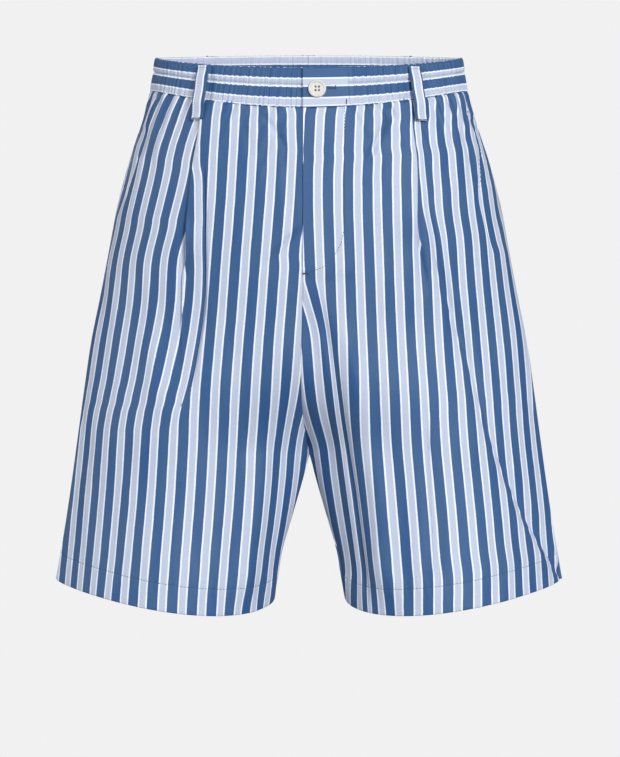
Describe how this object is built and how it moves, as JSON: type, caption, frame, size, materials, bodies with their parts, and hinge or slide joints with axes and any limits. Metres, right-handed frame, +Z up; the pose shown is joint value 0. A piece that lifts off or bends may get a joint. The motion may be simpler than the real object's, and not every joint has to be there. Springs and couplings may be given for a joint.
{
  "type": "bermuda shorts",
  "caption": "Knee-length striped shorts, worn shape with no wearer, with a gathered elastic waistband, reverse pleats, belt loops and a button fly.",
  "frame": {"origin": "middle of the waistband ring, where the wearer's waist holds the shorts", "axes": "+Z up towards the waist, -Y out of the front, +X towards the viewer's right, which is the wearer's left"},
  "size_m": [0.5046, 0.2435, 0.566],
  "materials": {
    "panel": "matt striped cotton poplin",
    "band": "matt striped cotton poplin, gathered on elastic",
    "loop": "matt striped cotton poplin, folded",
    "button": "satin resin"
  },
  "bodies": {
    "root": {"front_right": "panel", "front_left": "panel", "back_right": "panel", "back_left": "panel", "waistband_right": "band", "waistband_left": "band", "waistband_tab": "band", "loop_front_right": "loop", "loop_front_left": "loop", "loop_back_right": "loop", "loop_back_left": "loop", "loop_back_centre": "loop", "button": "button"}
  },
  "joints": []
}
